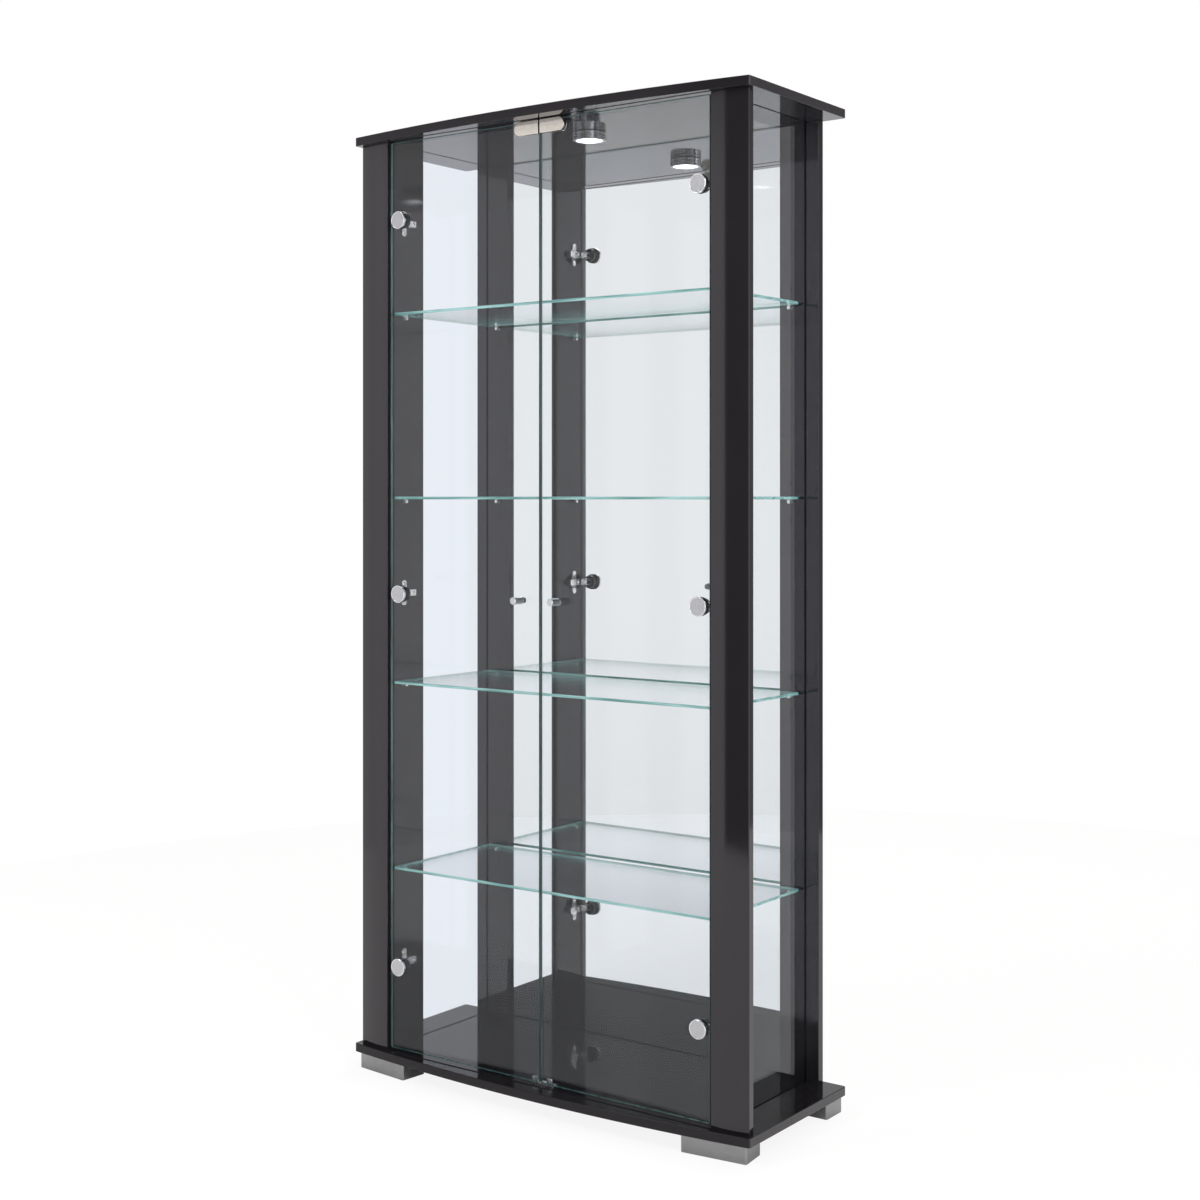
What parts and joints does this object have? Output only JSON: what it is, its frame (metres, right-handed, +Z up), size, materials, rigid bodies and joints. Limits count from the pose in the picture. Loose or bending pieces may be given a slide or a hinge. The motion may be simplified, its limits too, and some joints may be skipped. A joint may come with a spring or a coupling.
{
  "type": "glass display cabinet",
  "caption": "Tall bow-fronted china cabinet on silver feet, with hinged frameless glass doors, glass sides, mirror back, glass shelves on pins and a round light under its top panel.",
  "frame": {"origin": "on the floor, under the middle of the cabinet's overall box", "axes": "+Z up, +X to the right as seen from the front, +Y from the front to the back, so the doors face -Y"},
  "size_m": [0.873, 0.352, 1.76],
  "materials": {
    "black_gloss": "high-gloss black lacquer film on 16 mm board, with a thin edge band",
    "clear_glass": "clear float glass, edges ground and polished, green when seen along the pane",
    "mirror_glass": "silvered float glass",
    "dark_board": "thin hardboard, dark matt print on its rear face",
    "silver_feet": "satin silver lacquer on moulded plastic",
    "nickel": "nickel plating",
    "satin_chrome": "satin chrome plating",
    "light_lens": "frosted diffuser",
    "black_rubber": "matt rubber"
  },
  "bodies": {
    "carcass": {"top_panel": "black_gloss", "bottom_panel": "black_gloss", "foot_front_left": "silver_feet", "foot_front_right": "silver_feet", "foot_rear_left": "silver_feet", "foot_rear_right": "silver_feet", "post_left": "black_gloss", "post_right": "black_gloss", "return_left": "black_gloss", "return_right": "black_gloss", "stile_left": "black_gloss", "stile_right": "black_gloss", "side_glass_left": "clear_glass", "side_glass_right": "clear_glass", "mirror": "mirror_glass", "back_panel": "dark_board", "shelf_1": "clear_glass", "shelf_2": "clear_glass", "shelf_3": "clear_glass", "shelf_4": "clear_glass", "shelf_pin_1_front_left": "nickel", "shelf_pin_1_front_right": "nickel", "shelf_pin_1_rear_left": "nickel", "shelf_pin_1_rear_right": "nickel", "shelf_pin_2_front_left": "nickel", "shelf_pin_2_front_right": "nickel", "shelf_pin_2_rear_left": "nickel", "shelf_pin_2_rear_right": "nickel", "shelf_pin_3_front_left": "nickel", "shelf_pin_3_front_right": "nickel", "shelf_pin_3_rear_left": "nickel", "shelf_pin_3_rear_right": "nickel", "shelf_pin_4_front_left": "nickel", "shelf_pin_4_front_right": "nickel", "shelf_pin_4_rear_left": "nickel", "shelf_pin_4_rear_right": "nickel", "hinge_arm_bottom_left": "nickel", "hinge_arm_bottom_right": "nickel", "hinge_arm_middle_left": "nickel", "hinge_arm_middle_right": "nickel", "hinge_arm_top_left": "nickel", "hinge_arm_top_right": "nickel", "catch_body": "nickel", "door_stop": "nickel", "led_housing": "satin_chrome", "led_lens": "light_lens", "lead_grommet": "black_rubber"},
    "left_door": {"door_glass_left": "clear_glass", "knob_left": "satin_chrome", "strike_left": "nickel", "hinge_cup_bottom_left": "satin_chrome", "hinge_cup_middle_left": "satin_chrome", "hinge_cup_top_left": "satin_chrome"},
    "right_door": {"door_glass_right": "clear_glass", "knob_right": "satin_chrome", "strike_right": "nickel", "hinge_cup_bottom_right": "satin_chrome", "hinge_cup_middle_right": "satin_chrome", "hinge_cup_top_right": "satin_chrome"}
  },
  "joints": [
    {"name": "left_door_hinge", "type": "hinge", "parent": "carcass", "child": "left_door", "pos_m": [-0.3485, -0.1355, 0.899], "axis": [0, 0, -1], "range_deg": [0, 95]},
    {"name": "right_door_hinge", "type": "hinge", "parent": "carcass", "child": "right_door", "pos_m": [0.3485, -0.1355, 0.899], "axis": [0, 0, 1], "range_deg": [0, 95]}
  ]
}
